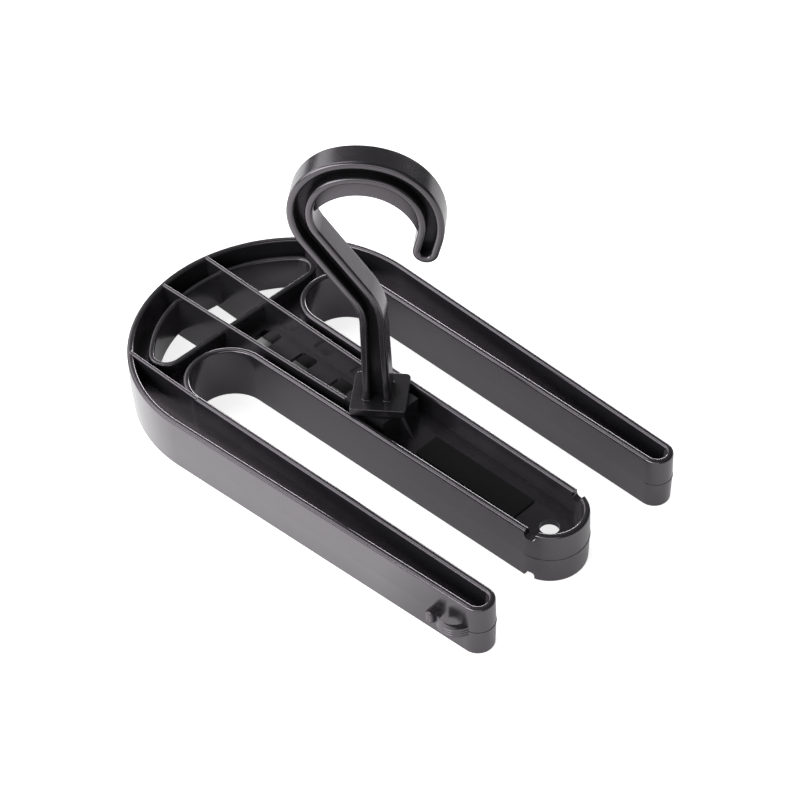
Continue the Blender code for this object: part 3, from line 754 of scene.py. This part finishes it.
framePieces = makeWalls() + makeRibs() + makeBoss() + makeEyelets() + makeSeams()
hangerFrame = fuse(makeWeb(), framePieces, makeNotches() + makeBossCuts())
dress(hangerFrame, "hangerFrame", satinBlack, "frame", "frame_moulding")
print("hanger: frame moulding", len(hangerFrame.data.polygons), "faces")

hangerHook = dress(makeHook(), "hangerHook", hookBlackShaded, "hook", "hook_moulding")
print("hanger: hook moulding", len(hangerHook.data.polygons), "faces")

for node, material in (("label_plate", glossBlack), ("hook_washer", stainless), ("hook_screw", stainless)):
    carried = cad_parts[node]
    carried.data.materials.clear()
    carried.data.materials.append(material)
print("hanger: plate and fastener finished")

# studio
studio = {
    "floor": (0.90, 0.90, 0.90, 1),
    "floorRoughness": 0.9,
    "floorSize": 6,
    "floorDrop": 0.0002,
    "floorGlow": (0.80, 0.26),  # as the camera sees it, and as it shows in gloss
    "paintedReflectionPatch": (-0.07, -0.28, 0.19, 0.19),  # painted reflection: a floor patch beside the near arm that glows only in gloss, to light the near wall's reflection; centre and reach
    "paintedReflectionGlow": 1.0,
    "shade": (-0.0843, 0.014, 0.062, 0.026),  # painted shade: the floor's glow is taken away under the windows; centre and reach
    "softEdge": (0.85, 1.1),
    "sky": 0.13,
    "aim": (0, 0, 0.05),
    "distance": 1.8,
    "panels": (  # name, azimuth and height in degrees, size across and up, watts
        ("frontPanel", -90, 28, 1.2, 0.9, 25),
        ("leftPanel", -135, 28, 1.2, 0.9, 11),
        ("rightPanel", -45, 28, 1.2, 0.9, 6),
        ("endPanel", 180, 28, 1.2, 0.9, 6),
        ("endTop", 180, 58, 1.2, 0.9, 9.5),
        ("leftStrip", -135, 8, 1.2, 0.6, 2),
        ("backPanel", 126, 8, 1.6, 0.6, 30),
    ),
}


def addPanel(name, azimuth, rise, width, height, watts):
    turn, lift = math.radians(azimuth), math.radians(rise)
    outward = Vector((math.cos(turn) * math.cos(lift), math.sin(turn) * math.cos(lift), math.sin(lift)))
    data = bpy.data.lights.new(name, "AREA")
    data.shape = "RECTANGLE"
    data.size = width
    data.size_y = height
    data.energy = watts
    lamp = bpy.data.objects.new(name, data)
    lamp.location = Vector(studio["aim"]) + outward * studio["distance"]
    lamp.rotation_euler = outward.to_track_quat("Z", "Y").to_euler()
    bpy.context.scene.collection.objects.link(lamp)


def calculate(tree, operation, *values):
    made = tree.nodes.new("ShaderNodeMath")
    made.operation = operation
    for socket, value in zip(made.inputs, values):
        if isinstance(value, float):
            socket.default_value = value
        else:
            tree.links.new(value, socket)
    return made.outputs[0]


# 0 in a soft-edged rectangle of the floor, 1 round it
def outside(tree, place, x, y, reachX, reachY):
    patch = tree.nodes.new("ShaderNodeMapping")
    patch.inputs["Scale"].default_value = (1 / reachX, 1 / reachY, 0)
    patch.inputs["Location"].default_value = (-x / reachX, -y / reachY, 0)
    tree.links.new(place, patch.inputs["Vector"])
    size = tree.nodes.new("ShaderNodeVectorMath")
    size.operation = "ABSOLUTE"
    tree.links.new(patch.outputs["Vector"], size.inputs[0])
    sides = tree.nodes.new("ShaderNodeSeparateXYZ")
    tree.links.new(size.outputs["Vector"], sides.inputs["Vector"])
    outer = calculate(tree, "MAXIMUM", sides.outputs["X"], sides.outputs["Y"])
    return spread(tree, outer, 0, 1, *studio["softEdge"])


def addFloor():
    bpy.ops.mesh.primitive_plane_add(size=studio["floorSize"], location=(0, 0, -studio["floorDrop"]))
    floor = bpy.context.object
    floor.name = "studioFloor"
    made, tree, shader, place = newMaterial("studioFloorWhite")
    shader.inputs["Base Color"].default_value = studio["floor"]
    shader.inputs["Roughness"].default_value = studio["floorRoughness"]
    rays = tree.nodes.new("ShaderNodeLightPath").outputs
    cameraGlow, glossGlow = studio["floorGlow"]
    seen = calculate(tree, "MULTIPLY", rays["Is Camera Ray"], cameraGlow)
    # painted reflection: inside the patch beside the near arm the floor glows brighter in gloss
    paintedReflectionPatch = spread(tree, outside(tree, place, *studio["paintedReflectionPatch"]), studio["paintedReflectionGlow"], glossGlow, 0, 1)
    inGloss = calculate(tree, "MULTIPLY", rays["Is Glossy Ray"], paintedReflectionPatch)
    level = calculate(tree, "ADD", seen, inGloss)
    # painted shade: no glow in the rectangle of floor under the windows
    shaded = calculate(tree, "MULTIPLY", level, outside(tree, place, *studio["shade"]))
    glow = tree.nodes.new("ShaderNodeEmission")
    tree.links.new(shaded, glow.inputs["Strength"])
    both = tree.nodes.new("ShaderNodeAddShader")
    tree.links.new(shader.outputs[0], both.inputs[0])
    tree.links.new(glow.outputs[0], both.inputs[1])
    tree.links.new(both.outputs[0], tree.nodes["Material Output"].inputs["Surface"])
    floor.data.materials.append(made)


def addSky():
    world = bpy.data.worlds.new("studioWorld")
    bpy.context.scene.world = world
    world.use_nodes = True
    tree = world.node_tree
    back = tree.nodes["Background"]
    back.inputs["Color"].default_value = (1, 1, 1, 1)
    rays = tree.nodes.new("ShaderNodeLightPath").outputs
    level = spread(tree, rays["Is Camera Ray"], studio["sky"], 1.0, 0, 1)
    tree.links.new(level, back.inputs["Strength"])


addFloor()
addSky()
for panel in studio["panels"]:
    addPanel(*panel)
bpy.context.scene.view_settings.view_transform = "Standard"
print("hanger: studio ready")
